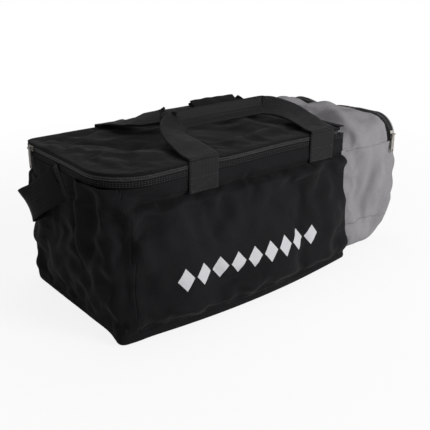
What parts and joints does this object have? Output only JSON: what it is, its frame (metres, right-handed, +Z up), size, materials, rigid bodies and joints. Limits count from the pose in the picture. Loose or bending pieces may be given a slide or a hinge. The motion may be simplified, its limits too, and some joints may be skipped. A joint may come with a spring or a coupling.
{
  "type": "sports holdall",
  "caption": "Soft sports holdall: a zipped lid over the main compartment, a separate zipped end pocket, carrying handles with a padded grip wrap, and an end grab handle.",
  "frame": {"origin": "centre of the bag's underside, on the surface that it stands on", "axes": "+X along the bag towards the end pocket, -Y towards the long side that carries the front handle, +Z up"},
  "size_m": [0.6437, 0.3276, 0.2956],
  "materials": {
    "black_fabric": "woven polyester, matt",
    "grey_fabric": "woven polyester, matt",
    "webbing": "close woven strap",
    "grip_fabric": "padded fabric",
    "zip_tape": "woven tape",
    "zip_teeth": "moulded coil",
    "stiffener": "plain sheet",
    "zip_metal": "dull metal"
  },
  "bodies": {
    "bag": {"base_panel": "black_fabric", "base_board": "stiffener", "front_panel": "black_fabric", "back_panel": "black_fabric", "end_panel": "black_fabric", "front_zip_band": "black_fabric", "back_zip_band": "black_fabric", "body_zip_tape": "zip_tape", "body_zip_coil": "zip_teeth", "body_zip_stops": "zip_teeth", "lid_hinge_strip": "black_fabric", "divider_panel": "black_fabric", "pocket_base_panel": "grey_fabric", "pocket_front_panel": "grey_fabric", "pocket_back_panel": "grey_fabric", "pocket_end_panel": "grey_fabric", "pocket_top_panel": "grey_fabric", "pocket_zip_tape": "zip_tape", "pocket_zip_coil": "zip_teeth", "front_handle_tab_left": "webbing", "front_handle_tab_right": "webbing", "back_handle_tab_left": "webbing", "back_handle_tab_right": "webbing", "end_handle_tab_near": "webbing", "end_handle_tab_far": "webbing"},
    "lid": {"lid_panel": "black_fabric", "lid_zip_tape": "zip_tape", "lid_zip_coil": "zip_teeth"},
    "pocket_flap": {"pocket_flap_panel": "grey_fabric", "flap_zip_tape": "zip_tape", "flap_zip_coil": "zip_teeth"},
    "front_handle": {"front_handle_strap": "webbing"},
    "back_handle": {"back_handle_strap": "webbing", "grip_wrap": "grip_fabric"},
    "wrap_flap": {"grip_wrap_flap": "grip_fabric"},
    "end_handle": {"end_handle_strap": "webbing"},
    "end_slider": {"end_slider": "zip_metal"},
    "end_puller": {"end_puller": "zip_metal"},
    "back_slider": {"back_slider": "zip_metal"},
    "back_puller": {"back_puller": "zip_metal"},
    "pocket_slider": {"pocket_slider": "zip_metal"},
    "pocket_puller": {"pocket_puller": "zip_metal"}
  },
  "joints": [
    {"name": "lid_open", "type": "hinge", "parent": "bag", "child": "lid", "pos_m": [0.158, 0, 0.25], "axis": [0, 1, 0], "range_deg": [0, 150], "deforming": ["front_handle_strap", "back_handle_strap", "grip_wrap", "grip_wrap_flap"]},
    {"name": "pocket_flap_open", "type": "hinge", "parent": "bag", "child": "pocket_flap", "pos_m": [0.3025, 0, 0.205], "axis": [0, 1, 0], "range_deg": [0, 95]},
    {"name": "front_handle_swing", "type": "hinge", "parent": "bag", "child": "front_handle", "pos_m": [0, -0.1361, 0.252], "axis": [1, 0, 0], "range_deg": [0, 225]},
    {"name": "back_handle_swing", "type": "hinge", "parent": "bag", "child": "back_handle", "pos_m": [0, 0.1361, 0.252], "axis": [-1, 0, 0], "range_deg": [0, 225]},
    {"name": "wrap_flap_open", "type": "hinge", "parent": "back_handle", "child": "wrap_flap", "pos_m": [0.006, 0.03472, 0.29426], "axis": [-1, 0, 0], "range_deg": [0, 150]},
    {"name": "end_handle_lift", "type": "hinge", "parent": "bag", "child": "end_handle", "pos_m": [-0.304, 0.02907, 0.2296], "axis": [0, 0.8427, -0.5384], "range_deg": [0, 50]},
    {"name": "end_slider_run", "type": "slide", "parent": "bag", "child": "end_slider", "axis": [0, -1, 0], "range_m": [0, 0.06]},
    {"name": "end_puller_lift", "type": "hinge", "parent": "end_slider", "child": "end_puller", "pos_m": [-0.3072, 0.104, 0.242], "axis": [0, 1, 0], "range_deg": [0, 150]},
    {"name": "back_slider_run", "type": "slide", "parent": "bag", "child": "back_slider", "axis": [1, 0, 0], "range_m": [0, 0.075]},
    {"name": "back_puller_lift", "type": "hinge", "parent": "back_slider", "child": "back_puller", "pos_m": [-0.27, 0.1387, 0.242], "axis": [1, 0, 0], "range_deg": [0, 150]},
    {"name": "pocket_slider_run", "type": "hinge", "parent": "pocket_flap", "child": "pocket_slider", "pos_m": [0.2942, -0.096, 0.205], "axis": [-1, 0, 0], "range_deg": [0, 70]},
    {"name": "pocket_puller_lift", "type": "hinge", "parent": "pocket_slider", "child": "pocket_puller", "pos_m": [0.2942, -0.14422, 0.21702], "axis": [-1, 0, 0], "range_deg": [0, 150]}
  ]
}
